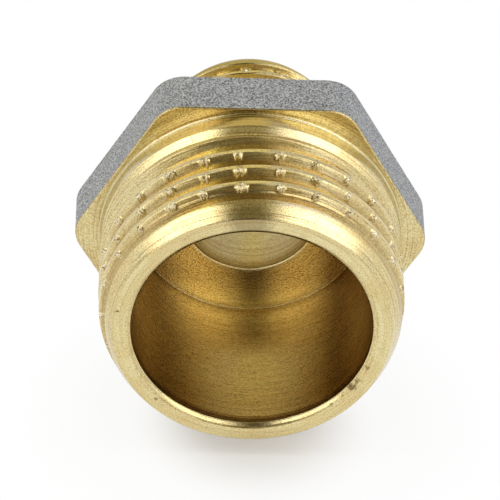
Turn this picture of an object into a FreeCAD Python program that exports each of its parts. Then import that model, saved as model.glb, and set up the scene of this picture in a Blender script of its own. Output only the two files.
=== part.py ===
import FreeCAD, Part
import math
import os

# Reducing nipple: one solid brass piece with a right-hand male pipe thread at each end, a hexagon
# between them and a stepped bore. Sizes are in millimetres. The axis lies along Y, the large
# mouth faces -Y, and two flats of the hexagon face up and down. The origin is on the axis, midway
# between the two end faces.

# Lengths along the axis
overall_length = 24.0
large_end_length = 10.7
hexagon_width = 3.7

# Hexagon, sized for a spanner of nominal 22, with corners rounded along the axis
hexagon_across_flats = 21.8
hexagon_corner_radius = 2.45
hexagon_sides = 6

# Form of both threads: flanks of a 55 degree pipe thread that meet at the root, and flat crests.
# The groove reaches its depth this many turns before it first passes the top of the piece.
flank_angle = 27.5
crest_share_of_pitch = 0.2
turns_before_top = 0.6
runout_turns = 0.3

# Large male end: a nominal 1/2 pipe thread, 14 turns per inch. Each place along an end is
# measured from that end's face, and a groove's place is where it passes the top of the piece.
large_thread_diameter = 20.955
large_thread_pitch = 1.814
large_first_groove = 2.08
large_full_thread = 7.95
large_chamfer_depth = 0.56
large_chamfer_length = 1.05
large_lead_in_depth = 0.44
large_lead_in_length = 1.35
large_neck_depth = 0.3
large_neck_width = 0.75
large_collar_cone = 0.65
large_collar_width = 1.35

# Small male end: a nominal 1/4 pipe thread, 19 turns per inch
small_thread_diameter = 13.157
small_thread_pitch = 1.337
small_first_groove = 1.91
small_full_thread = 6.2
small_chamfer_depth = 0.42
small_chamfer_length = 0.75
small_lead_in_depth = 0.28
small_lead_in_length = 0.85
small_neck_depth = 0.25
small_neck_width = 1.4
small_collar_cone = 0.5
small_collar_width = 1.1

# Stepped bore: a wide flat-bottomed bore from the large mouth, and a through bore
large_bore_diameter = 16.4
large_bore_depth = 13.0
mouth_chamfer_height = 0.47
mouth_chamfer_depth = 0.3
small_bore_diameter = 9.1
outlet_chamfer = 0.3

# Room that the groove's cutter has outside the crests, and above them where the run-out ends
cutter_overlap = 0.25
cutter_lift = 0.12

ORIGIN = FreeCAD.Vector(0, 0, 0)
X_AXIS = FreeCAD.Vector(1, 0, 0)
AXIS = FreeCAD.Vector(0, 1, 0)
Z_AXIS = FreeCAD.Vector(0, 0, 1)

large_face_y = -overall_length / 2
small_face_y = overall_length / 2
hexagon_front_y = large_face_y + large_end_length
shoulder_y = large_face_y + large_bore_depth
small_end_length = overall_length - large_end_length - hexagon_width


def turned(section):
    """Solid of revolution about the axis from a closed section of (y, radius) corners."""
    corners = [FreeCAD.Vector(radius, y, 0) for y, radius in section]
    face = Part.Face(Part.makePolygon(corners + corners[:1]))
    return face.revolve(ORIGIN, AXIS, 360)


def swept_along(helix, section):
    return Part.Wire(helix.Edges).makePipeShell([section], True, True)


def thread_groove(thread_radius, pitch, first_groove, full_thread):
    """The space between the turns of a thread, for an end with its face at y = 0.

    The groove runs in on a cone, keeps its depth up to full_thread and runs out on another cone.
    The sweeps are made about Z and then laid along the axis with their start at the top.
    """
    slope = math.tan(math.radians(flank_angle))
    half_width = pitch * (1 - crest_share_of_pitch) / 2
    depth = half_width / slope
    outside_radius = thread_radius + cutter_overlap
    outside_half_width = half_width + cutter_overlap * slope
    corners = [
        FreeCAD.Vector(thread_radius - depth, 0, 0),
        FreeCAD.Vector(outside_radius, 0, outside_half_width),
        FreeCAD.Vector(outside_radius, 0, -outside_half_width),
    ]
    section = Part.makePolygon(corners + corners[:1])

    turns = turns_before_top + (full_thread - first_groove) / pitch
    full = swept_along(Part.makeLongHelix(pitch, pitch * turns, thread_radius), section)

    runout_length = pitch * runout_turns
    cone_angle = math.degrees(math.atan2(depth + cutter_lift, runout_length))
    cone_helix = Part.makeLongHelix(pitch, runout_length, thread_radius, cone_angle)
    runout = swept_along(cone_helix, section)
    runin = runout.copy()
    runin.rotate(ORIGIN, X_AXIS, 180)
    runout.rotate(ORIGIN, Z_AXIS, 360 * turns)
    runout.translate(Z_AXIS * pitch * turns)

    for sweep in (runin, full, runout):
        sweep.rotate(ORIGIN, Z_AXIS, -90 - 360 * turns_before_top)
        sweep.translate(Z_AXIS * (first_groove - pitch * turns_before_top))
        sweep.rotate(ORIGIN, X_AXIS, -90)
    return [runin, full, runout]


def male_end(length, thread_diameter, pitch, first_groove, full_thread,
             chamfer_depth, chamfer_length, lead_in_depth, lead_in_length,
             neck_depth, neck_width, collar_cone, collar_width):
    """One threaded end, from its face at y = 0 to its foot at the hexagon.

    A chamfer and then a slower lead-in rise to the thread, which ends where the blank narrows to
    a shallow neck. A steeper cone leads from the neck up to a plain collar of the thread's diameter.
    """
    thread_radius = thread_diameter / 2
    neck_radius = thread_radius - neck_depth
    collar_y = length - collar_width
    neck_end_y = collar_y - collar_cone
    neck_start_y = neck_end_y - neck_width
    blank = turned([
        (0, 0),
        (0, thread_radius - lead_in_depth - chamfer_depth),
        (chamfer_length, thread_radius - lead_in_depth),
        (chamfer_length + lead_in_length, thread_radius),
        (neck_start_y, thread_radius),
        (neck_end_y, neck_radius),
        (collar_y, thread_radius),
        (length, thread_radius),
        (length, 0),
    ])
    return blank.cut(thread_groove(thread_radius, pitch, first_groove, full_thread))


def large_end():
    end = male_end(large_end_length, large_thread_diameter, large_thread_pitch, large_first_groove,
                   large_full_thread, large_chamfer_depth, large_chamfer_length,
                   large_lead_in_depth, large_lead_in_length, large_neck_depth, large_neck_width,
                   large_collar_cone, large_collar_width)
    end.translate(AXIS * large_face_y)
    return end


def small_end():
    end = male_end(small_end_length, small_thread_diameter, small_thread_pitch, small_first_groove,
                   small_full_thread, small_chamfer_depth, small_chamfer_length,
                   small_lead_in_depth, small_lead_in_length, small_neck_depth, small_neck_width,
                   small_collar_cone, small_collar_width)
    end.rotate(ORIGIN, Z_AXIS, 180)
    end.translate(AXIS * small_face_y)
    return end


def hexagon():
    """Spanner hexagon with a flat up and a flat down, and its six axial corners rounded."""
    slot = Part.makeBox(2 * hexagon_across_flats, hexagon_width, hexagon_across_flats)
    slot.translate(FreeCAD.Vector(-hexagon_across_flats, hexagon_front_y, -hexagon_across_flats / 2))
    prism = slot
    for side in range(1, hexagon_sides // 2):
        turned_slot = slot.copy()
        turned_slot.rotate(ORIGIN, AXIS, side * 360 / hexagon_sides)
        prism = prism.common(turned_slot)
    axial_edges = [edge for edge in prism.Edges if edge.BoundBox.YLength > hexagon_width / 2]
    return prism.makeFillet(hexagon_corner_radius, axial_edges)


def stepped_bore():
    """The space inside: wide bore with a chamfered mouth, flat shoulder and through bore."""
    large_radius = large_bore_diameter / 2
    small_radius = small_bore_diameter / 2
    return turned([
        (large_face_y, 0),
        (large_face_y, large_radius + mouth_chamfer_height),
        (large_face_y + mouth_chamfer_depth, large_radius),
        (shoulder_y, large_radius),
        (shoulder_y, small_radius),
        (small_face_y - outlet_chamfer, small_radius),
        (small_face_y, small_radius + outlet_chamfer),
        (small_face_y, 0),
    ])


def nipple_body():
    blank = hexagon().fuse([large_end(), small_end()])
    return blank.cut(stepped_bore()).removeSplitter().Solids[0]


os.makedirs("parts", exist_ok=True)
body = nipple_body()
body.exportStep("parts/nipple_body.step")

centre = body.CenterOfMass
print("valid", body.isValid(), "volume", round(body.Volume, 1), "centre of gravity y", round(centre.y, 3))
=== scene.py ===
import math

import bmesh
import bpy
import numpy as np
from mathutils import Matrix, Vector


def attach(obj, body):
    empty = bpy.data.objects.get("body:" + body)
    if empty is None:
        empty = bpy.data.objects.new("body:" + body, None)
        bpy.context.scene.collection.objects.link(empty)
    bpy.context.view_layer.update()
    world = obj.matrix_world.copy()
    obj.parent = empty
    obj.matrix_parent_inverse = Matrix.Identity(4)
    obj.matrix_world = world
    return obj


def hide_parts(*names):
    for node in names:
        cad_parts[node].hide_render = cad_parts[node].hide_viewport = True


# Reducing nipple in brass, lying on one flat of its hexagon. Lengths named below are in
# millimetres and become metres where a mesh is made. The axis lies along Y with the large mouth
# towards -Y. Angles about the axis run clockwise from the top, seen from the large mouth.

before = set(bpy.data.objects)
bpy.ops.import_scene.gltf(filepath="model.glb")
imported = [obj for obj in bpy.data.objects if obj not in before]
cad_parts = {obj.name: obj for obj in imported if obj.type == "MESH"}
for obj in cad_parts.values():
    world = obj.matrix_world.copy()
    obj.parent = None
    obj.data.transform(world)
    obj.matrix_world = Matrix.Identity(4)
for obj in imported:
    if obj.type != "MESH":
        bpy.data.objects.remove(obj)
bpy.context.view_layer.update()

MM = 0.001
SEED = 7
random_source = np.random.default_rng(SEED)

# Main sizes, as in the solid
OVERALL_LENGTH = 24.0
LARGE_END_LENGTH = 10.7
HEXAGON_WIDTH = 3.7
HEXAGON_ACROSS_FLATS = 21.8
HEXAGON_CORNER_RADIUS = 2.45
LARGE_BORE_RADIUS = 8.2
LARGE_BORE_DEPTH = 13.0
MOUTH_CHAMFER_HEIGHT = 0.47
MOUTH_CHAMFER_DEPTH = 0.3
SMALL_BORE_RADIUS = 4.55
OUTLET_CHAMFER = 0.3
SMALL_END_LENGTH = OVERALL_LENGTH - LARGE_END_LENGTH - HEXAGON_WIDTH
LARGE_FACE_Y = -OVERALL_LENGTH / 2
HEXAGON_FRONT_Y = LARGE_FACE_Y + LARGE_END_LENGTH
HEXAGON_BACK_Y = HEXAGON_FRONT_Y + HEXAGON_WIDTH
SMALL_FACE_Y = OVERALL_LENGTH / 2
SHOULDER_Y = LARGE_FACE_Y + LARGE_BORE_DEPTH

# Small forms that the solid has no faces for
HEXAGON_EDGE_BREAK = 0.12
HEXAGON_BREAK_PROFILE = [(0, 1.0), (0.08, 0.55), (0.29, 0.29), (0.55, 0.08), (1.0, 0)]
MOUTH_CHAMFER_BULGE = 0.035
SHOULDER_EDGE = 0.1
LARGE_REGISTER_RADIUS = 10.6
SMALL_REGISTER_RADIUS = 6.7
REGISTER_PROFILE = [(0.16, 0.11), (0.14, 0.03), (0.11, 0), (0.02, 0), (0, 0)]

# The faces of the two ends go a little under their edges, and the hexagon's under the registers
LARGE_FACE_OUTER_RADIUS = 9.4
SMALL_FACE_OUTER_RADIUS = 5.8
FACE_EDGE_PROFILE = [(0, 0), (0.012, 0.04)]
UNDER_FACE_EDGE = 0.01
UNDER_REGISTER = 0.05

# Columns of faces round the axis
LARGE_END_COLUMNS = 700
HEXAGON_COLUMNS = 480
SMALL_END_COLUMNS = 480
BORE_COLUMNS = 240

# Form of both threads. Shares are of the pitch, and turns are counted from the top.
FLANK_SLOPE = math.tan(math.radians(27.5))
CREST_SHARE = 0.2
DEPTH_SHARE = 0.64
EDGE_ROUNDING = 0.012
BLANK_EASING = 0.03
ROOT_ROUNDING = 0.25
RUNOUT_TURNS = 0.3
CUTTER_LIFT = 0.12
LEAD_IN_TURN = -0.5
LEAD_IN_FADE = 0.12
BELOW_THREAD = 1.3

# Raised line along the first flank of the large thread: its place as a share of the groove's half
# width, its spread as such a share, its height, and the turns over which it fades in and out
START_LINE_SHARE = 0.61
START_LINE_SPREAD = 0.04
START_LINE_HEIGHT = 0.035
START_LINE_FADE_IN = (-0.27, -0.2)
START_LINE_FADE_OUT = (0.15, 0.22)

# Rows of points over a thread: shares of a groove's reach to either side of its middle, and one
# share of the way from the middle of a crest to each edge of it. They lie close together at the
# groove's edges, and on the flank towards the hexagon, where the nicks have their tabs.
ROWS_BEFORE = (0.2, 0.5, 0.9, 1.0, 1.02)
ROWS_AFTER = (0.0, 0.18, 0.34, 0.46, 0.53, 0.57, 0.61, 0.65, 0.73, 0.81, 0.89, 0.98, 1.0, 1.02)
ROW_ON_CREST = 0.45
REACH_TRIES = 12
LEAST_REACH = 0.03
MOST_REACH = 1.05
TOUCHING = 1e-6

# Dark stains on the brass, the first of them a painted dark reflection over the top of the large
# face: place, size and strength
STAINS_AND_PAINTED_REFLECTION = [
    # Painted dark reflection over the top of the large face
    ((-0.5, LARGE_FACE_Y, 9.15), 2.4, 0.5),
    ((6.94, LARGE_FACE_Y, -4.67), 0.5, 0.85),
    ((7.35, LARGE_FACE_Y, -4.1), 0.36, 0.7),
    ((6.35, LARGE_FACE_Y, -5.45), 0.3, 0.6),
    ((5.7, LARGE_FACE_Y, -6.25), 0.22, 0.6),
    ((8.0, LARGE_FACE_Y, -2.9), 0.2, 0.6),
    ((-6.3, LARGE_FACE_Y, -6.1), 0.24, 0.6),
    ((-10.1, LARGE_FACE_Y + 1.9, 1.9), 0.24, 0.8),
    ((-9.2, LARGE_FACE_Y, 1.45), 0.22, 0.8),
    ((6.2, LARGE_FACE_Y + 5.9, 8.35), 0.2, 0.9),
]
STAIN_RAGGEDNESS = 4.0
MOST_RAGGED_SIZE = 0.4


def colour(red, green, blue):
    """A colour given in display values from 0 to 255."""
    linear = [v / 12.92 if v <= 0.04045 else ((v + 0.055) / 1.055) ** 2.4
              for v in (red / 255, green / 255, blue / 255)]
    return (*linear, 1.0)


PALE_BRASS = colour(236, 223, 170)
YELLOW_BRASS = colour(226, 209, 153)
DRIFTED_BRASS = colour(227, 208, 151)
LINE_BROWN = colour(168, 134, 82)
FILM_AND_SHADE_BROWN = colour(138, 102, 38)
LEAD_IN_SHADE_BROWN = colour(124, 102, 44)
LOW_BORE_PAINTED_LIGHT = colour(246, 218, 146)
COLLAR_TOP_REFLECTION = colour(200, 176, 116)
COLLAR_SIDES_REFLECTION = colour(206, 198, 162)
PEPPER = colour(84, 60, 28)
SPARKLE = colour(236, 206, 140)
BURNISHED_AND_HIGHLIGHT_PALE = colour(252, 243, 212)
CRUMPLED_DARK = colour(132, 100, 52)
SPECK_BROWN = colour(140, 104, 62)
SCRATCH_AND_SHADE_BROWN = colour(150, 120, 66)
STAIN_AND_REFLECTION_BROWN = colour(98, 70, 38)
DARK_GREY = colour(48, 49, 53)
PALE_GREY = colour(198, 199, 200)
SCORCHED_BROWN = colour(104, 84, 60)

# How much of the dull brown film each place holds, as a share from 0 to 1. In the grooves and the
# bores the film is painted shade, and on the small lead-in it is painted shade on its left side
GROOVE_PAINTED_SHADE = 0.36
BEFORE_THREAD_FILM = 0.28
BORE_PAINTED_SHADE = 0.52
MORE_PAINTED_SHADE_ON_RIGHT = 0.30
MORE_PAINTED_SHADE_ON_LEFT = 0.16
SMALL_BORE_PAINTED_SHADE = 0.1
SMALL_GROOVE_PAINTED_SHADE = 0.12
SMALL_LEAD_IN_PAINTED_SHADE = 0.3

# Heights of the fine relief that the materials add
BROAD_LINE_HEIGHT = 0.014
FINE_LINE_HEIGHT = 0.007
GRAIN_HEIGHT = 0.006
CRUMPLED_HEIGHT = 0.06
FLANK_LINE_HEIGHT = 0.002
PIT_HEIGHT = 0.035


def column_angles(columns):
    return np.arange(columns) * (2 * math.pi / columns)


def on_axis_circle(angle, y, radius):
    """Points in metres from angles about the axis, places along it and radii."""
    angle, y, radius = np.broadcast_arrays(angle, y, radius)
    return np.stack([radius * np.sin(angle), y, radius * np.cos(angle)], -1) * MM


def smooth_step(low, high, value):
    share = np.clip((value - low) / (high - low), 0, 1)
    return share * share * (3 - 2 * share)


def smooth_minimum(a, b, blend):
    mix = np.clip(0.5 + 0.5 * (b - a) / blend, 0, 1)
    return b * (1 - mix) + a * mix - blend * mix * (1 - mix)


class Skin:
    """Collects rings of points round the axis and the faces between them."""

    def __init__(self):
        self.points = []
        self.faces = []
        self.count = 0

    def add(self, points):
        points = np.asarray(points).reshape(-1, 3)
        first = self.count
        self.points.append(points)
        self.count += len(points)
        return np.arange(first, self.count)

    def bridge(self, ring, following):
        count = len(ring)
        after = np.roll(np.arange(count), -1)
        self.faces += np.stack([ring, ring[after], following[after], following], -1).tolist()

    def lathe(self, ring, section, columns, direction=1):
        """Carries on from a ring through circles of (y, radius), and returns the last of them."""
        angle = direction * column_angles(columns)
        for y, radius in section:
            following = self.add(on_axis_circle(angle, y, radius))
            if ring is not None:
                self.bridge(ring, following)
            ring = following
        return ring

    def piece(self, name):
        mesh = bpy.data.meshes.new(name)
        mesh.from_pydata(np.concatenate(self.points).tolist(), [], self.faces)
        work = bmesh.new()
        work.from_mesh(mesh)
        bmesh.ops.remove_doubles(work, verts=work.verts, dist=1e-8)
        bmesh.ops.dissolve_degenerate(work, edges=work.edges, dist=1e-8)
        bmesh.ops.recalc_face_normals(work, faces=work.faces)
        work.to_mesh(mesh)
        work.free()
        mesh.validate()
        mesh.shade_smooth()
        piece = bpy.data.objects.new(name, mesh)
        bpy.context.collection.objects.link(piece)
        piece.modifiers.new("weighted_normal", "WEIGHTED_NORMAL")
        return piece


class ThreadedEnd:
    """One male end, worked out along s from its face at 0 to its foot at the hexagon."""

    def __init__(self, diameter, pitch, first_groove, full_thread, envelope, start_line=False):
        self.radius = diameter / 2
        self.pitch = pitch
        self.first_groove = first_groove
        self.full_turns = (full_thread - first_groove) / pitch
        self.half_width = pitch * (1 - CREST_SHARE) / 2
        self.depth = pitch * DEPTH_SHARE
        self.sharp_depth = self.half_width / FLANK_SLOPE
        self.envelope_s, self.envelope_radius = zip(*envelope)
        self.start_line = start_line
        self.nicks = []

    def blank_radius(self, s):
        """The turned blank with its corners eased."""
        shifts = np.linspace(-BLANK_EASING, BLANK_EASING, 5)
        radii = [np.interp(s + shift, self.envelope_s, self.envelope_radius) for shift in shifts]
        return sum(radii) / len(radii)

    def nearest_turn(self, angle, s):
        """Turns along the groove, counted from the top, and the distance from its middle."""
        turns_round = angle / (2 * math.pi)
        along = (s - self.first_groove) / self.pitch
        turn = np.round(along - turns_round) + turns_round
        return turn, (along - turn) * self.pitch

    def surface_radius(self, angle, s):
        turn, off_middle = self.nearest_turn(angle, s)
        sharp_root = self.root_radius(turn)
        flank = sharp_root + np.abs(off_middle) / FLANK_SLOPE
        floor = sharp_root + self.sharp_depth - self.depth
        groove = -smooth_minimum(-flank, -floor, ROOT_ROUNDING)
        if self.start_line:
            off_line = np.abs(off_middle / self.half_width - START_LINE_SHARE)
            near = np.clip(1 - off_line / START_LINE_SPREAD, 0, 1)
            begun = smooth_step(*START_LINE_FADE_IN, turn)
            ended = smooth_step(*START_LINE_FADE_OUT, turn)
            groove = groove + START_LINE_HEIGHT * near * begun * (1 - ended)
        blank = self.blank_radius(s)
        for nicks in self.nicks:
            dent, tab = nicks(angle, s, off_middle)
            blank = blank - dent
            groove = groove + tab
        return smooth_minimum(blank, groove, EDGE_ROUNDING)

    def root_radius(self, turn):
        """Where the flanks would meet, rising at the groove's end and fading in at its start."""
        past_full = np.maximum(turn - self.full_turns, 0) / RUNOUT_TURNS
        not_begun = 1 - smooth_step(LEAD_IN_TURN - LEAD_IN_FADE, LEAD_IN_TURN, turn)
        rise = (self.sharp_depth + CUTTER_LIFT) * (past_full + not_begun)
        return self.radius - self.sharp_depth + rise

    def reach(self, middle, root, side):
        """How far a groove reaches to one side before it meets the blank."""
        width = np.full_like(middle, self.half_width)
        for _ in range(REACH_TRIES):
            depth = self.blank_radius(middle + side * width) - root
            found = np.clip(depth * FLANK_SLOPE, LEAST_REACH, self.half_width * MOST_REACH)
            width = 0.5 * width + 0.5 * found
        return width

    def grid(self, start, stop, columns):
        """Angles and places of the helical rows of points between two circles."""
        half = self.pitch / 2
        first_turn = math.floor((start - self.first_groove - half) / self.pitch) - 1
        last_turn = math.ceil((stop - self.first_groove + half) / self.pitch)
        angle = column_angles(columns)
        rows = []
        for whole_turn in range(first_turn, last_turn + 1):
            turn = whole_turn + angle / (2 * math.pi)
            middle = self.first_groove + self.pitch * turn
            root = self.root_radius(turn)
            before, after = (self.reach(middle, root, side) for side in (-1, 1))
            rows.append(middle - half)
            rows.append(middle - half + ROW_ON_CREST * (half - before * ROWS_BEFORE[-1]))
            rows += [middle - share * before for share in reversed(ROWS_BEFORE)]
            rows += [middle + share * after for share in ROWS_AFTER]
            rows.append(middle + half - ROW_ON_CREST * (half - after * ROWS_AFTER[-1]))
        return angle, np.array(rows), 3 + len(ROWS_BEFORE) + len(ROWS_AFTER)


def threaded_zone(skin, end, to_points, start, stop, first_ring, columns):
    """Builds the thread between two circles, from a ring already there to a new one."""
    angle, s, per_turn = end.grid(start, stop, columns)
    last_radius = end.surface_radius(angle, np.full(columns, stop))
    last_ring = skin.add(to_points(angle, stop, last_radius))
    inside = (s > start + TOUCHING) & (s < stop - TOUCHING)
    index = np.where(s <= start + TOUCHING, first_ring[None, :], last_ring[None, :])
    radius = end.surface_radius(angle[None, :], s)
    points = to_points(np.broadcast_to(angle, s.shape), s, radius)
    index[inside] = skin.add(points[inside])
    after_seam = np.minimum(np.arange(len(s)) + per_turn, len(s) - 1)
    following = np.concatenate([index[:, 1:], index[after_seam, :1]], axis=1)
    corners = np.stack([index[:-1], following[:-1], following[1:], index[1:]], -1).reshape(-1, 4)
    for face in corners.tolist():
        kept = [corner for place, corner in enumerate(face) if corner != face[place - 1]]
        if len(set(kept)) >= 3 and len(set(kept)) == len(kept):
            skin.faces.append(kept)
    return last_ring


def large_points(angle, s, radius):
    return on_axis_circle(angle, LARGE_FACE_Y + s, radius)


def small_points(angle, s, radius):
    """The small end is turned half round about the vertical, so its angles run the other way."""
    return on_axis_circle(-angle, SMALL_FACE_Y - s, radius)


def hexagon_radius(angle, inset):
    """Distance from the axis to the rounded hexagon, drawn in by an inset all round."""
    half_flats = HEXAGON_ACROSS_FLATS / 2 - inset
    corner_radius = HEXAGON_CORNER_RADIUS - inset
    sixth = math.pi / 3
    off_corner = np.abs((angle % sixth) - sixth / 2)
    centre = (half_flats - corner_radius) / math.cos(sixth / 2)
    arc_end = math.atan2(corner_radius / 2, centre + corner_radius * math.cos(sixth / 2))
    on_arc = centre * np.cos(off_corner) + np.sqrt(
        np.maximum(corner_radius ** 2 - (centre * np.sin(off_corner)) ** 2, 0))
    on_flat = half_flats / np.cos(sixth / 2 - off_corner)
    return np.where(off_corner < arc_end, on_arc, on_flat)


class Nicks:
    """Small dents rolled across the crests, in columns nearly along the axis.

    Each one pushes a crumpled tab of metal over the flank that faces away from the hexagon. The
    places below are in millimetres from the edge of the crest, and less than 0 on that flank.
    """

    TURNS = 10
    SIZES = (0.55, 1.15)
    SCATTER = 0.07
    REACHES = (0.3, 0.6)
    FIRST_PLACE = 1.75
    BEFORE_RUNOUT = 0.9
    ON_CREST = (-0.05, 1.2)
    DENT_START = 0.02
    DENT_CRUMPLE = 0.6
    CRUMPLE_WAVES = (16, 24)
    RAGGED_WAVES = ((0.05, 31, 1), (0.04, 53, 3))
    TAB_RISE = (-0.27, -0.1)
    TAB_FALL = (0.0, 0.12)
    TAB_SIDES = (0.1, 0.46)
    COLOUR_RISE = (-0.25, -0.15)
    COLOUR_FALL = (0.06, 0.2)
    COLOUR_SIDES = (0.14, 0.38)

    def __init__(self, end, count, first_angle, turn_shift, depth, steep, gentle, tab, crumple):
        self.end = end
        self.count = count
        self.first_angle = first_angle
        self.turn_shift = turn_shift
        self.depth = depth
        self.steep = steep
        self.gentle = gentle
        self.tab = tab
        self.crumple = crumple
        shape = (count, self.TURNS)
        self.sizes = random_source.uniform(*self.SIZES, shape)
        self.shifts = random_source.normal(0, self.SCATTER, shape)
        self.reach = random_source.uniform(*self.REACHES, shape)
        self.phases = random_source.uniform(0, 2 * math.pi, shape)

    def nearest(self, angle, s, off_middle):
        """Places over the crest's edge and beside the nearest nick, and that nick's own numbers."""
        end = self.end
        past_middle = np.where(off_middle >= 0, off_middle, off_middle + end.pitch)
        onto_crest = past_middle - end.half_width
        turn = np.floor((s - onto_crest) / end.pitch).astype(int)
        turn = np.clip(turn, 0, self.TURNS - 1)
        spacing = 2 * math.pi / self.count
        column = (angle - self.first_angle - turn * self.turn_shift) / spacing
        nearest = np.round(column).astype(int)
        which = (nearest % self.count, turn)
        arc = (column - nearest) * spacing * end.radius - self.shifts[which]
        thread_end = end.first_groove + end.full_turns * end.pitch - self.BEFORE_RUNOUT
        threaded = (s > self.FIRST_PLACE) & (s < thread_end)
        return (onto_crest, arc, self.sizes[which], self.phases[which], self.reach[which],
                threaded)

    def __call__(self, angle, s, off_middle):
        """Depth of the dent in the blank, and height of the tab that stands in the groove."""
        angle, s, off_middle = np.broadcast_arrays(angle, s, off_middle)
        onto_crest, arc, size, phase, reach, threaded = self.nearest(angle, s, off_middle)
        width = np.where(arc < 0, -self.steep * size, self.gentle * size)
        across = smooth_step(0, 1, 1 - arc / width)
        wave_round, wave_along = self.CRUMPLE_WAVES
        crumple = (self.crumple * np.sin(wave_round * arc + phase)
                   * np.sin(wave_along * onto_crest + 2 * phase))
        on_top = (onto_crest > self.ON_CREST[0]) & (onto_crest < self.ON_CREST[1])
        along = np.where(on_top, 1 - smooth_step(self.DENT_START, reach, onto_crest), 0)
        dent = (self.depth * size - self.DENT_CRUMPLE * crumple) * across * along
        over_flank = (smooth_step(*self.TAB_RISE, onto_crest)
                      * (1 - smooth_step(*self.TAB_FALL, onto_crest)))
        beside = 1 - smooth_step(*self.TAB_SIDES, np.abs(arc) / size)
        tab = (self.tab * size + crumple) * over_flank * beside
        return np.where(threaded, dent, 0), np.where(threaded, tab, 0)

    def crumpled(self, angle, s, off_middle):
        """Share from 0 to 1 of crumpled metal, over the dent and the tab."""
        onto_crest, arc, size, phase, _, threaded = self.nearest(angle, s, off_middle)
        place = onto_crest + sum(height * np.sin(wave * arc + shift * phase)
                                 for height, wave, shift in self.RAGGED_WAVES)
        over = smooth_step(*self.COLOUR_RISE, place) * (1 - smooth_step(*self.COLOUR_FALL, place))
        beside = 1 - smooth_step(*self.COLOUR_SIDES, np.abs(arc) / size)
        return np.where(threaded, over * beside, 0)


LARGE_END = ThreadedEnd(
    diameter=20.955, pitch=1.814, first_groove=1.9, full_thread=7.95, start_line=True,
    envelope=[(0, 9.4775), (0.34, 9.67), (0.38, 9.675), (0.42, 9.715), (1.05, 10.035),
              (1.7, 10.25), (2.1, 10.38), (2.7, 10.46), (3.4, 10.4775), (7.95, 10.4775),
              (8.7, 10.1775), (9.35, 10.4775), (LARGE_END_LENGTH, 10.4775)])
SMALL_END = ThreadedEnd(
    diameter=13.157, pitch=1.337, first_groove=1.91, full_thread=6.2,
    envelope=[(0, 5.8785), (0.75, 6.2985), (1.6, 6.5785), (6.6, 6.5785), (8.0, 6.3285),
              (8.5, 6.5785), (SMALL_END_LENGTH, 6.5785)])

LARGE_END.nicks.append(Nicks(
    LARGE_END, count=25, first_angle=math.radians(-5.6), turn_shift=math.radians(-0.1),
    depth=0.05, steep=0.4, gentle=0.45, tab=0.28, crumple=0.05))
SMALL_END.nicks.append(Nicks(
    SMALL_END, count=15, first_angle=math.radians(4), turn_shift=math.radians(-0.5),
    depth=0.05, steep=0.4, gentle=0.42, tab=0.24, crumple=0.045))


def mark_nicks(piece, end, face_y, direction):
    """Keeps the crumpled share on each point, for the material."""
    x, y, z = np.array([vertex.co for vertex in piece.data.vertices]).T / MM
    angle = direction * np.arctan2(x, z)
    s = direction * (y - face_y)
    off_middle = end.nearest_turn(angle, s)[1]
    share = sum(nicks.crumpled(angle, s, off_middle) for nicks in end.nicks)
    share = np.where(np.hypot(x, z) > end.radius - BELOW_THREAD, share, 0)
    values = piece.data.attributes.new("crumpled", "FLOAT", "POINT").data
    values.foreach_set("value", share.astype(np.float32))


def face_edge(face_y, direction, radius):
    return [(face_y + direction * away, radius + rise) for away, rise in FACE_EDGE_PROFILE]


def blank_section(end, face_y, direction, places):
    return [(face_y + direction * s, end.blank_radius(s)) for s in places]


def register_step(hexagon_y, direction, radius):
    """Low step round the foot of an end, against the hexagon."""
    return [(hexagon_y + direction * away, radius - inset) for away, inset in REGISTER_PROFILE]


def large_end_piece():
    """Outside of the large end, from the edge of its face to the foot at the hexagon."""
    thread_start, thread_stop = 0.6, 8.6
    lead_in_places = (0.04, 0.07, 0.15, 0.24, 0.28, 0.31, 0.34, 0.36, 0.38, 0.4, 0.42, 0.45, 0.48,
                      thread_start)
    foot_places = (8.64, 8.67, 8.7, 8.73, 8.76, 8.85, 9.0, 9.2, 9.29, 9.32, 9.35, 9.38, 9.41, 9.6,
                   10.0, 10.4)
    skin = Skin()
    lead_in = face_edge(LARGE_FACE_Y, 1, LARGE_FACE_OUTER_RADIUS)
    lead_in += blank_section(LARGE_END, LARGE_FACE_Y, 1, lead_in_places)
    first_ring = skin.lathe(None, lead_in, LARGE_END_COLUMNS)
    last_ring = threaded_zone(skin, LARGE_END, large_points, thread_start, thread_stop, first_ring,
                              LARGE_END_COLUMNS)
    foot = blank_section(LARGE_END, LARGE_FACE_Y, 1, foot_places)
    foot += register_step(HEXAGON_FRONT_Y, -1, LARGE_REGISTER_RADIUS)
    skin.lathe(last_ring, foot, LARGE_END_COLUMNS)
    piece = skin.piece("large_end")
    mark_nicks(piece, LARGE_END, LARGE_FACE_Y, 1)
    return piece


def small_end_piece():
    """Outside of the small end, from the edge of its face to the foot at the hexagon."""
    thread_start, thread_stop = 0.05, 7.8
    foot_places = (7.93, 7.97, 8.03, 8.07, 8.25, 8.43, 8.47, 8.53, 8.57, 8.8, 9.2)
    skin = Skin()
    lead_in = face_edge(SMALL_FACE_Y, -1, SMALL_FACE_OUTER_RADIUS)
    lead_in += blank_section(SMALL_END, SMALL_FACE_Y, -1, [thread_start])
    first_ring = skin.lathe(None, lead_in, SMALL_END_COLUMNS, direction=-1)
    last_ring = threaded_zone(skin, SMALL_END, small_points, thread_start, thread_stop, first_ring,
                              SMALL_END_COLUMNS)
    foot = blank_section(SMALL_END, SMALL_FACE_Y, -1, foot_places)
    foot += register_step(HEXAGON_BACK_Y, 1, SMALL_REGISTER_RADIUS)
    skin.lathe(last_ring, foot, SMALL_END_COLUMNS, direction=-1)
    piece = skin.piece("small_end")
    mark_nicks(piece, SMALL_END, SMALL_FACE_Y, -1)
    return piece


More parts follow.
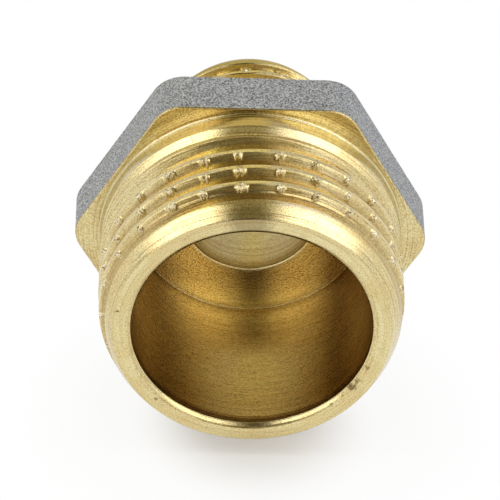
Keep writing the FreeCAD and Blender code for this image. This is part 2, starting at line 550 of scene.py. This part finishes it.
def hexagon_piece():
    """The hexagon with both its edges broken, and the faces in to the feet of both ends."""
    skin = Skin()
    angle = column_angles(HEXAGON_COLUMNS)
    contour = hexagon_radius(angle, HEXAGON_EDGE_BREAK)
    front_inner = LARGE_REGISTER_RADIUS - UNDER_REGISTER
    back_inner = SMALL_REGISTER_RADIUS - UNDER_REGISTER
    flat_width = HEXAGON_WIDTH - 2 * HEXAGON_EDGE_BREAK
    broken = [(along * HEXAGON_EDGE_BREAK, hexagon_radius(angle, inset * HEXAGON_EDGE_BREAK))
              for along, inset in HEXAGON_BREAK_PROFILE]
    rings = [(HEXAGON_FRONT_Y, front_inner + (contour - front_inner) * share)
             for share in np.linspace(0, 1, 9)[:-1]]
    rings += [(HEXAGON_FRONT_Y + along, radius) for along, radius in broken]
    rings += [(HEXAGON_FRONT_Y + HEXAGON_EDGE_BREAK + share * flat_width, hexagon_radius(angle, 0))
              for share in np.linspace(0, 1, 10)[1:-1]]
    rings += [(HEXAGON_BACK_Y - along, radius) for along, radius in reversed(broken)]
    rings += [(HEXAGON_BACK_Y, contour + (back_inner - contour) * share)
              for share in np.linspace(0, 1, 9)[1:]]
    skin.lathe(None, rings, HEXAGON_COLUMNS)
    return skin.piece("hexagon")


def bore_piece():
    """Both end faces and the stepped bore between them, from the small face to the large one."""
    skin = Skin()
    outlet_edge = SMALL_BORE_RADIUS + OUTLET_CHAMFER
    mouth_edge = LARGE_BORE_RADIUS + MOUTH_CHAMFER_HEIGHT
    chamfer_foot = LARGE_FACE_Y + MOUTH_CHAMFER_DEPTH
    section = [(SMALL_FACE_Y, SMALL_FACE_OUTER_RADIUS + UNDER_FACE_EDGE), (SMALL_FACE_Y, 5.4),
               (SMALL_FACE_Y, outlet_edge + 0.02), (SMALL_FACE_Y - 0.02, outlet_edge - 0.01),
               (SMALL_FACE_Y - OUTLET_CHAMFER, SMALL_BORE_RADIUS)]
    section += [(y, SMALL_BORE_RADIUS) for y in np.linspace(SMALL_FACE_Y - 1, SHOULDER_Y + 1, 8)]
    section += [(SHOULDER_Y + SHOULDER_EDGE, SMALL_BORE_RADIUS),
                (SHOULDER_Y + 0.3 * SHOULDER_EDGE, SMALL_BORE_RADIUS + 0.3 * SHOULDER_EDGE),
                (SHOULDER_Y, SMALL_BORE_RADIUS + SHOULDER_EDGE)]
    section += [(SHOULDER_Y, radius) for radius in np.linspace(SMALL_BORE_RADIUS + 0.4, 8.1, 9)]
    section += [(SHOULDER_Y, 8.16), (SHOULDER_Y - 0.012, 8.188),
                (SHOULDER_Y - 0.04, LARGE_BORE_RADIUS)]
    section += [(y, LARGE_BORE_RADIUS) for y in np.linspace(SHOULDER_Y - 1, LARGE_FACE_Y + 1, 14)]
    section += [(chamfer_foot + 0.03, LARGE_BORE_RADIUS),
                (chamfer_foot - 0.06, LARGE_BORE_RADIUS + 0.04)]
    for share in (0.25, 0.5, 0.75, 0.92):
        bulge = MOUTH_CHAMFER_BULGE * 4 * share * (1 - share)
        section.append((LARGE_FACE_Y + MOUTH_CHAMFER_DEPTH * (1 - share) - bulge,
                        LARGE_BORE_RADIUS + MOUTH_CHAMFER_HEIGHT * share - 0.6 * bulge))
    section += [(LARGE_FACE_Y + 0.012, mouth_edge + 0.03),
                (LARGE_FACE_Y + 0.004, mouth_edge + 0.08), (LARGE_FACE_Y, mouth_edge + 0.14)]
    section += [(LARGE_FACE_Y, radius)
                for radius in (8.95, 9.2, LARGE_FACE_OUTER_RADIUS + UNDER_FACE_EDGE)]
    skin.lathe(None, section, BORE_COLUMNS)
    return skin.piece("bore")


class Nodes:
    """Short ways to add and join shader nodes."""

    def __init__(self, tree):
        self.tree = tree
        tree.nodes.clear()

    def add(self, kind, inputs=(), **settings):
        node = self.tree.nodes.new(kind)
        for name, value in settings.items():
            setattr(node, name, value)
        for name, value in dict(inputs).items():
            self.feed(value, node.inputs[name])
        return node

    def feed(self, value, socket):
        if isinstance(value, bpy.types.NodeSocket):
            self.tree.links.new(value, socket)
        else:
            socket.default_value = value

    def math(self, operation, *values):
        node = self.add("ShaderNodeMath", operation=operation)
        for value, socket in zip(values, node.inputs):
            self.feed(value, socket)
        return node.outputs[0]

    def chain(self, operation, first, *others):
        for other in others:
            first = self.math(operation, first, other)
        return first

    def product(self, *values):
        return self.chain("MULTIPLY", *values)

    def total(self, *values):
        return self.chain("ADD", *values)

    def largest(self, *values):
        return self.chain("MAXIMUM", *values)

    def less(self, whole, share, amount=1.0):
        """The whole less an amount of the share."""
        return self.math("SUBTRACT", whole, self.math("MULTIPLY", share, amount))

    def combine(self, x, y, z):
        return self.add("ShaderNodeCombineXYZ", {"X": x, "Y": y, "Z": z}).outputs[0]

    def separate(self, vector):
        return self.add("ShaderNodeSeparateXYZ", {"Vector": vector}).outputs

    def vector_math(self, operation, first, second):
        return self.add("ShaderNodeVectorMath", {0: first, 1: second}, operation=operation)

    def scaled(self, vector, scale):
        return self.add("ShaderNodeVectorMath", {"Vector": vector, "Scale": scale},
                        operation="SCALE").outputs[0]

    def distance(self, vector, point):
        return self.vector_math("DISTANCE", vector, point).outputs["Value"]

    def noise(self, vector, scale, detail=2.0, roughness=0.5):
        return self.add("ShaderNodeTexNoise", {"Vector": vector, "Scale": scale, "Detail": detail,
                                               "Roughness": roughness}).outputs["Fac"]

    def ramp(self, value, low, high):
        """Goes smoothly from 0 to 1 as the value goes from low to high."""
        node = self.add("ShaderNodeMapRange", {"Value": value, "From Min": low, "From Max": high},
                        interpolation_type="SMOOTHSTEP")
        return node.outputs["Result"]

    def mix(self, share, first, second):
        node = self.add("ShaderNodeMix", data_type="RGBA")
        for value, place in ((share, 0), (first, 6), (second, 7)):
            self.feed(value, node.inputs[place])
        return node.outputs[2]

    def mix_numbers(self, share, first, second):
        node = self.add("ShaderNodeMix", data_type="FLOAT")
        for value, place in ((share, 0), (first, 2), (second, 3)):
            self.feed(value, node.inputs[place])
        return node.outputs[0]

    def mix_shaders(self, share, first, second):
        node = self.add("ShaderNodeMixShader", {"Fac": share, 1: first, 2: second})
        return node.outputs[0]


def new_material(name):
    material = bpy.data.materials.new(name)
    material.use_nodes = True
    return material, Nodes(material.node_tree)


class Place:
    """Object coordinates in millimetres, and the radius and the angle about the axis."""

    def __init__(self, nodes):
        coordinates = nodes.add("ShaderNodeTexCoord").outputs["Object"]
        self.vector = nodes.scaled(coordinates, 1 / MM)
        self.x, self.y, self.z = nodes.separate(self.vector)
        squares = nodes.total(nodes.product(self.x, self.x), nodes.product(self.z, self.z))
        self.radius = nodes.math("SQRT", squares)
        self.angle = nodes.math("ARCTAN2", self.x, self.z)


def tool_marks(nodes, at):
    """Coordinates that change quickly across the marks of the turning tool and slowly along them.

    The marks run round the axis, and along the helix where there is a thread. The share from 0 to
    1 of each thread comes with them.
    """
    slow = nodes.scaled(at.vector, 0.03)
    marks = nodes.vector_math("ADD", nodes.combine(at.y, at.radius, 0.0), slow).outputs[0]
    threads = []
    for end, low, high in ((LARGE_END, LARGE_FACE_Y + 1.7, LARGE_FACE_Y + 8.2),
                           (SMALL_END, SMALL_FACE_Y - 6.9, SMALL_FACE_Y - 1.2)):
        wheel = end.pitch / (2 * math.pi)
        phase = nodes.math("SUBTRACT", nodes.math("DIVIDE", at.y, wheel), at.angle)
        across = nodes.product(nodes.math("SINE", phase), wheel)
        along = nodes.product(nodes.math("COSINE", phase), wheel)
        deep = nodes.total(at.radius, nodes.product(at.y, 0.3))
        helix = nodes.vector_math("ADD", nodes.combine(across, along, deep), slow).outputs[0]
        threaded = nodes.product(
            nodes.ramp(at.y, low - 0.1, low + 0.1), nodes.ramp(at.y, high + 0.1, high - 0.1),
            nodes.ramp(at.radius, end.radius - BELOW_THREAD, end.radius - BELOW_THREAD + 0.1))
        marks = nodes.mix(threaded, marks, helix)
        threads.append(threaded)
    return marks, threads


class Brass:
    """Turned brass over the whole nipple: its colour, its roughness and its heights."""

    def __init__(self, nodes):
        self.nodes = nodes
        self.at = Place(nodes)
        marks, (self.large_thread, self.small_thread) = tool_marks(nodes, self.at)
        self.fine_lines = nodes.noise(marks, 9.0, 2.0, 0.65)
        self.broad_lines = nodes.noise(marks, 3.0, 2.0, 0.55)
        self.grain = nodes.noise(self.at.vector, 9.0, 3.0, 0.7)
        self.crumpled = nodes.add("ShaderNodeAttribute", attribute_name="crumpled").outputs["Fac"]
        self.find_bores()
        self.tone = self.turned_tone()
        self.roughness = nodes.total(nodes.product(self.fine_lines, 0.14), 0.08)
        self.roughen(self.in_bore, 0.13)
        self.roughen(self.in_small_bore, 0.25)
        self.roughen(self.crumpled, 0.2)
        self.add_film_and_painted_shade()
        self.add_collar_painted_reflections()
        self.add_pepper()
        self.add_crumpled_tones_and_highlights()
        self.add_specks()
        self.add_cone_shade_and_scratch()

    def cover(self, share, tone):
        self.tone = self.nodes.mix(share, self.tone, tone)

    def roughen(self, share, amount):
        self.roughness = self.nodes.total(self.roughness, self.nodes.product(share, amount))

    def find_bores(self):
        """Shares of the wide bore with its shoulder, of its low part and of the small bore."""
        nodes, at = self.nodes, self.at
        self.in_bore = nodes.product(
            nodes.ramp(at.radius, 8.26, 8.22), nodes.ramp(at.radius, 4.6, 4.8),
            nodes.ramp(at.y, LARGE_FACE_Y + 0.25, LARGE_FACE_Y + 0.35),
            nodes.ramp(at.y, SHOULDER_Y + 0.06, SHOULDER_Y + 0.03))
        self.low_in_bore = nodes.ramp(at.z, -5.0, -8.0)
        self.in_small_bore = nodes.product(nodes.ramp(at.radius, 4.70, 4.62),
                                           nodes.ramp(at.y, SHOULDER_Y, SHOULDER_Y + 0.05))

    def turned_tone(self):
        """Pale and yellow bands, and brown lines and blotches that are weaker on the large face."""
        nodes, at = self.nodes, self.at
        drift = nodes.noise(at.vector, 0.35, 2.0)
        blotches = nodes.noise(at.vector, 1.1, 3.0, 0.6)
        tone = nodes.mix(nodes.ramp(self.broad_lines, 0.35, 0.65), PALE_BRASS, YELLOW_BRASS)
        tone = nodes.mix(nodes.ramp(drift, 0.4, 0.65), tone, DRIFTED_BRASS)
        on_mouth = nodes.product(nodes.ramp(at.radius, 8.5, 8.6),
                                 nodes.ramp(at.y, LARGE_FACE_Y + 0.03, LARGE_FACE_Y + 0.01))
        dark = nodes.total(nodes.product(nodes.ramp(self.fine_lines, 0.50, 0.34), 0.40),
                           nodes.product(nodes.ramp(self.grain, 0.56, 0.40), 0.36))
        dark = nodes.product(dark, nodes.less(1.0, on_mouth, 0.4))
        blotched = nodes.product(nodes.ramp(blotches, 0.55, 0.72), 0.3)
        return nodes.mix(nodes.largest(dark, blotched), tone, LINE_BROWN)

    def add_film_and_painted_shade(self):
        """Painted shade as a thin dull brown film in the grooves and the bores, more of it at the
        wide bore's sides, and the same film on a band before the thread. Low in the wide bore the
        film is left out and a paler gold is painted there as light.
        """
        nodes, at = self.nodes, self.at
        # Painted shade in the grooves of both threads, less of it over the large thread's last
        # turns
        last_turns = nodes.ramp(at.y, LARGE_FACE_Y + 6.2, LARGE_FACE_Y + 7.4)
        in_groove = nodes.product(self.large_thread, nodes.ramp(at.radius, 10.40, 10.05),
                                  nodes.less(1.0, last_turns, 0.75))
        in_small_groove = nodes.product(self.small_thread, nodes.ramp(at.radius, 6.52, 6.2))
        before_thread = nodes.product(nodes.ramp(at.y, LARGE_FACE_Y + 1.0, LARGE_FACE_Y + 1.2),
                                      nodes.ramp(at.y, LARGE_FACE_Y + 1.9, LARGE_FACE_Y + 1.7),
                                      nodes.ramp(at.radius, 9.0, 9.1))
        # Painted shade in the bores, darker towards the wide bore's sides and left out low in it
        bore_shade = nodes.total(
            nodes.less(BORE_PAINTED_SHADE, self.low_in_bore, BORE_PAINTED_SHADE),
            nodes.product(nodes.ramp(at.x, 4.6, 6.4), MORE_PAINTED_SHADE_ON_RIGHT),
            nodes.product(nodes.ramp(at.x, -5.0, -7.0), MORE_PAINTED_SHADE_ON_LEFT))
        film_and_shade = nodes.largest(nodes.product(in_groove, GROOVE_PAINTED_SHADE),
                             nodes.product(self.in_bore, bore_shade),
                             nodes.product(before_thread, BEFORE_THREAD_FILM),
                             nodes.product(self.in_small_bore, SMALL_BORE_PAINTED_SHADE),
                             nodes.product(in_small_groove, SMALL_GROOVE_PAINTED_SHADE))
        self.cover(film_and_shade, FILM_AND_SHADE_BROWN)
        # Painted shade on the left of the small end's lead-in, none on its right
        small_lead_in = nodes.product(
            nodes.ramp(at.y, SMALL_FACE_Y - 1.75, SMALL_FACE_Y - 1.55),
            nodes.ramp(at.radius, 5.7, 5.8),
            nodes.less(SMALL_LEAD_IN_PAINTED_SHADE, nodes.ramp(at.x, 0.0, 2.0), SMALL_LEAD_IN_PAINTED_SHADE))
        self.cover(small_lead_in, LEAD_IN_SHADE_BROWN)
        # Painted light: a paler gold low in the wide bore
        self.cover(nodes.product(self.in_bore, self.low_in_bore, 0.5), LOW_BORE_PAINTED_LIGHT)

    def add_collar_painted_reflections(self):
        """Painted reflections: the collar is painted browner along its top and greyer down its
        sides.
        """
        nodes, at = self.nodes, self.at
        on_collar = nodes.product(
            nodes.ramp(at.y, LARGE_FACE_Y + 9.35, LARGE_FACE_Y + 9.45),
            nodes.ramp(at.radius, 10.2, 10.3),
            nodes.ramp(at.y, HEXAGON_FRONT_Y - 0.1, HEXAGON_FRONT_Y - 0.18))
        from_top = nodes.math("ABSOLUTE", nodes.total(at.angle, 0.05))
        self.cover(nodes.product(on_collar, nodes.ramp(from_top, 0.3, 0.12)), COLLAR_TOP_REFLECTION)
        self.cover(nodes.product(on_collar, nodes.ramp(from_top, 0.2, 0.45), 0.7), COLLAR_SIDES_REFLECTION)

    def add_pepper(self):
        """Fine dark and bright grains, most of them in the wide bore."""
        nodes = self.nodes
        grain = nodes.noise(self.at.vector, 9.0, 2.0, 0.7)
        in_bore = nodes.product(self.in_bore, nodes.less(0.62, self.low_in_bore, 0.3))
        self.cover(nodes.product(nodes.ramp(grain, 0.48, 0.43), nodes.total(0.14, in_bore)), PEPPER)
        self.cover(nodes.product(nodes.ramp(grain, 0.54, 0.60), in_bore, 0.55), SPARKLE)

    def add_crumpled_tones_and_highlights(self):
        """Pale lumps on the nicks, burnished metal with a painted highlight, and dark lumps."""
        nodes = self.nodes
        lumps = nodes.noise(self.at.vector, 6.0, 2.0, 0.6)
        # Painted highlight on the nicks, as pale burnished metal
        self.cover(nodes.product(self.crumpled, nodes.ramp(lumps, 0.46, 0.54)), BURNISHED_AND_HIGHLIGHT_PALE)
        self.cover(nodes.product(self.crumpled, nodes.ramp(lumps, 0.46, 0.38)), CRUMPLED_DARK)

    def add_specks(self):
        nodes = self.nodes
        specks = nodes.ramp(nodes.noise(self.at.vector, 4.5, 1.0), 0.70, 0.76)
        self.cover(nodes.product(specks, 0.6), SPECK_BROWN)

    def add_cone_shade_and_scratch(self):
        """A rougher patch with a sharp edge on the cone before the collar, painted a little darker
        where a reflection ends, and a thin scratch.
        """
        nodes, at = self.nodes, self.at
        on_cone = nodes.product(nodes.ramp(at.y, LARGE_FACE_Y + 8.74, LARGE_FACE_Y + 8.8),
                                nodes.ramp(at.y, LARGE_FACE_Y + 9.36, LARGE_FACE_Y + 9.3),
                                nodes.ramp(at.radius, 10.0, 10.1))
        reflection_end = nodes.product(nodes.ramp(at.angle, 0.583, 0.587), nodes.ramp(at.angle, 0.95, 0.66),
                             on_cone)
        self.roughen(reflection_end, 0.16)
        slant = nodes.product(nodes.total(at.y, -LARGE_FACE_Y - 9.0), 0.012)
        from_top = nodes.math("ABSOLUTE", nodes.total(at.angle, slant))
        off_scratch = nodes.math("ABSOLUTE", nodes.math("SUBTRACT", from_top, 0.436))
        scratch = nodes.product(nodes.ramp(off_scratch, 0.005, 0.002),
                                nodes.ramp(at.angle, -0.3, -0.35), on_cone, 0.75)
        # Painted shade on the rough patch where a reflection ends, and the scratch
        self.cover(nodes.largest(nodes.product(reflection_end, 0.2), scratch), SCRATCH_AND_SHADE_BROWN)

    def heights(self):
        """Pairs of a height from 0 to 1 and its scale in millimetres.

        The threads are smoother than the rest, with close lines that show on their flanks.
        """
        nodes, at = self.nodes, self.at
        calm = nodes.less(1.0, nodes.total(self.large_thread, self.small_thread), 0.6)
        slow = nodes.vector_math("MULTIPLY", at.vector, (0.05, 0.0, 0.05)).outputs[0]
        quick = nodes.combine(nodes.product(at.y, 20.0), 0.0, 0.0)
        flank_lines = nodes.noise(nodes.vector_math("ADD", quick, slow).outputs[0], 1.0, 2.0, 0.6)
        return [(nodes.product(self.broad_lines, calm), BROAD_LINE_HEIGHT),
                (nodes.product(self.fine_lines, calm), FINE_LINE_HEIGHT),
                (nodes.product(self.grain, calm), GRAIN_HEIGHT),
                (nodes.product(self.grain, self.crumpled), CRUMPLED_HEIGHT),
                (nodes.product(flank_lines, self.large_thread), FLANK_LINE_HEIGHT)]


def relief(nodes, heights):
    """One bump upon another, from pairs of a height from 0 to 1 and its scale in millimetres."""
    normal = None
    for height, scale in heights:
        bump = nodes.add("ShaderNodeBump", {"Strength": 1.0, "Distance": scale * MM,
                                            "Height": height})
        if normal is not None:
            nodes.feed(normal, bump.inputs["Normal"])
        normal = bump.outputs[0]
    return normal


def turned_brass(name, edge_tint):
    """The edge tint is how much the metal reflects where it is seen at a grazing angle."""
    material, nodes = new_material(name)
    brass = Brass(nodes)
    outline = nodes.math("SUBTRACT", nodes.noise(brass.at.vector, 3.5, 4.0, 0.75), 0.5)
    # Stains, and a painted dark reflection over the top of the large face
    for place, size, strength in STAINS_AND_PAINTED_REFLECTION:
        raggedness = STAIN_RAGGEDNESS * min(size, MOST_RAGGED_SIZE)
        away = nodes.total(nodes.distance(brass.at.vector, place),
                           nodes.product(outline, raggedness))
        brass.cover(nodes.product(nodes.ramp(away, 0.85 * size, 0.3 * size), strength), STAIN_AND_REFLECTION_BROWN)
    shader = nodes.add("ShaderNodeBsdfPrincipled", {
        "Base Color": brass.tone, "Metallic": 1.0, "Roughness": brass.roughness,
        "Specular Tint": (*edge_tint, 1), "Normal": relief(nodes, brass.heights())})
    nodes.add("ShaderNodeOutputMaterial", {"Surface": shader.outputs[0]})
    return material


def hexagon_metal():
    """Turned brass on the hexagon's two faces, and blasted grey with a ragged edge on its flats."""
    material, nodes = new_material("hexagon_metal")
    brass = Brass(nodes)
    speckle = nodes.noise(brass.at.vector, 9.5, 3.0, 0.8)
    inside = nodes.math("MINIMUM", nodes.math("SUBTRACT", brass.at.y, HEXAGON_FRONT_Y),
                        nodes.math("SUBTRACT", HEXAGON_BACK_Y, brass.at.y))
    ragged = nodes.total(inside, nodes.product(nodes.math("SUBTRACT", speckle, 0.5), 0.2))
    blasted = nodes.ramp(ragged, 0.05, 0.09)
    scorched = nodes.product(nodes.ramp(ragged, 0.015, 0.05), nodes.less(1.0, blasted), 0.6)
    brass.cover(scorched, SCORCHED_BROWN)
    brass.cover(blasted, nodes.mix(nodes.ramp(speckle, 0.38, 0.62), DARK_GREY, PALE_GREY))
    pits = (nodes.product(speckle, blasted), PIT_HEIGHT)
    shader = nodes.add("ShaderNodeBsdfPrincipled", {
        "Base Color": brass.tone, "Metallic": nodes.less(1.0, blasted, 0.65),
        "Roughness": nodes.mix_numbers(blasted, brass.roughness, 0.6),
        "Normal": relief(nodes, brass.heights() + [pits])})
    nodes.add("ShaderNodeOutputMaterial", {"Surface": shader.outputs[0]})
    return material


def white_floor():
    """Seen directly and in reflections the floor is white, and less so close under the rim."""
    material, nodes = new_material("white_floor")
    lit = nodes.add("ShaderNodeBsdfDiffuse", {"Color": (0.97, 0.97, 0.97, 1)})
    white = nodes.add("ShaderNodeEmission", {"Color": (1, 1, 1, 1), "Strength": 1.0})
    path = nodes.add("ShaderNodeLightPath").outputs
    seen = nodes.largest(path["Is Camera Ray"], path["Is Glossy Ray"], path["Is Transmission Ray"])
    under_rim = nodes.distance(nodes.add("ShaderNodeTexCoord").outputs["Object"],
                               (0.7 * MM, (LARGE_FACE_Y + 3.0) * MM, 0.0))
    whiteness = nodes.total(nodes.product(nodes.ramp(under_rim, 3 * MM, 9 * MM), 0.60), 0.26,
                            nodes.product(nodes.ramp(under_rim, 9 * MM, 19 * MM), 0.14))
    surface = nodes.mix_shaders(nodes.product(seen, whiteness), lit.outputs[0], white.outputs[0])
    nodes.add("ShaderNodeOutputMaterial", {"Surface": surface})
    return material


def level(value):
    return (value, value, value, 1)


def warm_level(value, green=0.93, blue=0.58):
    return (value, green * value, blue * value, 1)


class Studio:
    """Light by direction: a white backdrop low down, lights overhead and in front, and a room."""

    def __init__(self, nodes):
        self.nodes = nodes
        direction = nodes.add("ShaderNodeTexCoord").outputs["Generated"]
        self.x, self.y, self.z = nodes.separate(direction)
        self.right = nodes.ramp(self.x, -0.1, 0.1)

    def beside(self, left_inner, left_outer, right_inner, right_outer):
        return self.nodes.largest(self.nodes.ramp(self.x, left_inner, left_outer),
                                  self.nodes.ramp(self.x, right_inner, right_outer))

    def overhead(self):
        """Two lights in line across the zenith."""
        nodes = self.nodes
        edge = nodes.less(self.y, nodes.math("ABSOLUTE", self.x), 0.13)
        return nodes.product(nodes.ramp(edge, 0.16, 0.08), nodes.ramp(edge, -0.30, -0.14),
                             nodes.ramp(self.z, 0.12, 0.60), self.beside(-0.26, -0.52, 0.10, 0.60))

    def in_front(self):
        """Two lights in front, one at either side, with slanting edges."""
        nodes = self.nodes
        below = nodes.math("SUBTRACT", 0.468, self.z)
        right = nodes.product(nodes.ramp(nodes.math("SUBTRACT", self.x, below), 0.16, 0.26),
                              nodes.ramp(self.z, 0.06, 0.2))
        inner_edge = nodes.total(self.x, nodes.product(below, 0.3))
        left = nodes.product(nodes.ramp(inner_edge, -0.17, -0.25),
                             nodes.ramp(nodes.less(self.z, self.x, 0.9), 0.58, 0.68))
        return nodes.product(nodes.ramp(self.y, -0.45, -0.6), nodes.ramp(self.z, 0.66, 0.56),
                             nodes.largest(left, right))

    def front(self):
        nodes = self.nodes
        walls = nodes.mix(nodes.ramp(self.x, 0.33, 0.42), warm_level(0.46, 0.86, 0.50),
                          (0.64, 0.64, 0.74, 1))
        walls = nodes.mix(nodes.ramp(self.z, 0.34, 0.44), walls, level(0.62))
        strip = nodes.mix(nodes.ramp(self.z, 0.35, 0.45), warm_level(0.20, 0.82, 0.42),
                          warm_level(0.05, 0.80, 0.35))
        return nodes.mix(self.beside(-0.25, -0.31, 0.10, 0.16), strip, walls)

    def high(self):
        nodes = self.nodes
        walls = nodes.mix(self.right, (2.4, 2.7, 1.7, 1), (1.65, 1.8, 2.6, 1))
        walls = nodes.mix(nodes.ramp(self.z, 0.5, 0.7), level(1.3), walls)
        return nodes.mix(self.beside(-0.36, -0.46, 0.14, 0.44), warm_level(0.46, 0.92, 0.56), walls)

    def back(self):
        nodes = self.nodes
        beside = self.beside(-0.22, -0.30, 0.10, 0.16)
        upper = nodes.mix(beside, warm_level(0.36), level(0.88))
        walls = nodes.mix(self.right, level(0.84), level(0.70))
        lower = nodes.mix(beside, warm_level(0.90), walls)
        return nodes.mix(nodes.ramp(self.y, 0.62, 0.74), upper, lower)

    def room(self):
        """From front to back: a dark strip in the middle, and lighter walls at either side."""
        nodes = self.nodes
        zenith = nodes.mix(self.beside(-0.25, -0.46, 0.08, 0.48), warm_level(0.34), level(0.60))
        room = nodes.mix(nodes.ramp(self.y, -0.60, -0.38), self.front(), zenith)
        room = nodes.mix(nodes.ramp(self.y, 0.10, 0.20), room, self.high())
        room = nodes.mix(nodes.ramp(self.y, 0.36, 0.50), room, self.back())
        horizon = nodes.product(nodes.ramp(self.z, 0.42, 0.05), nodes.ramp(self.y, 0.0, 0.5))
        return nodes.mix(horizon, room, level(1.0))

    def light(self):
        nodes = self.nodes
        front_lights = nodes.mix(self.right, level(2.05), level(2.35))
        lit = nodes.mix(self.in_front(), self.room(), front_lights)
        return nodes.mix(self.overhead(), lit, level(2.9))


def studio_world():
    """The camera sees white all round, and metal and glass see it where the backdrop stands."""
    world = bpy.data.worlds.new("studio")
    bpy.context.scene.world = world
    world.use_nodes = True
    nodes = Nodes(world.node_tree)
    studio = Studio(nodes)
    lit = nodes.add("ShaderNodeBackground", {"Color": studio.light(), "Strength": 1.0})
    white = nodes.add("ShaderNodeBackground", {"Color": (1, 1, 1, 1), "Strength": 1.0})
    path = nodes.add("ShaderNodeLightPath").outputs
    reflected = nodes.largest(path["Is Glossy Ray"], path["Is Transmission Ray"])
    backdrop = nodes.product(reflected, nodes.ramp(studio.z, 0.12, 0.04))
    surface = nodes.mix_shaders(nodes.largest(path["Is Camera Ray"], backdrop), lit.outputs[0],
                                white.outputs[0])
    nodes.add("ShaderNodeOutputWorld", {"Surface": surface})


def add_camera():
    """The photograph's viewpoint: an upright camera turned a little about its own axis."""
    data = bpy.data.cameras.new("camera")
    data.sensor_width = 36.0
    data.lens = 304.44
    data.clip_start = 0.01
    data.clip_end = 10.0
    camera = bpy.data.objects.new("camera", data)
    bpy.context.collection.objects.link(camera)
    place = Vector((-9.458, -237.010, 177.067)) * MM
    right = Vector((0.999152, -0.009984, 0.039950)).normalized()
    up = Vector((-0.025828, 0.603647, 0.796833)).normalized()
    turn = Matrix((right, up, right.cross(up))).transposed().to_4x4()
    camera.matrix_world = Matrix.Translation(place) @ turn
    bpy.context.scene.camera = camera


def add_floor():
    bpy.ops.mesh.primitive_plane_add(size=3.0, location=(0, 0, -HEXAGON_ACROSS_FLATS / 2 * MM))
    floor = bpy.context.object
    floor.name = "floor"
    floor.data.materials.append(white_floor())


brass = turned_brass("turned_brass", (1, 1, 1))
dull_brass = turned_brass("dull_brass", (0.6, 0.52, 0.3))
hexagon_finish = hexagon_metal()
finishes = {"large_end": brass, "small_end": dull_brass, "hexagon": hexagon_finish, "bore": brass}
pieces = [large_end_piece(), small_end_piece(), hexagon_piece(), bore_piece()]
for piece in pieces:
    piece.data.materials.append(finishes[piece.name])
    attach(piece, "root")
    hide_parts("nipple_body")

studio_world()
add_floor()
add_camera()
bpy.context.scene.view_settings.view_transform = "Standard"
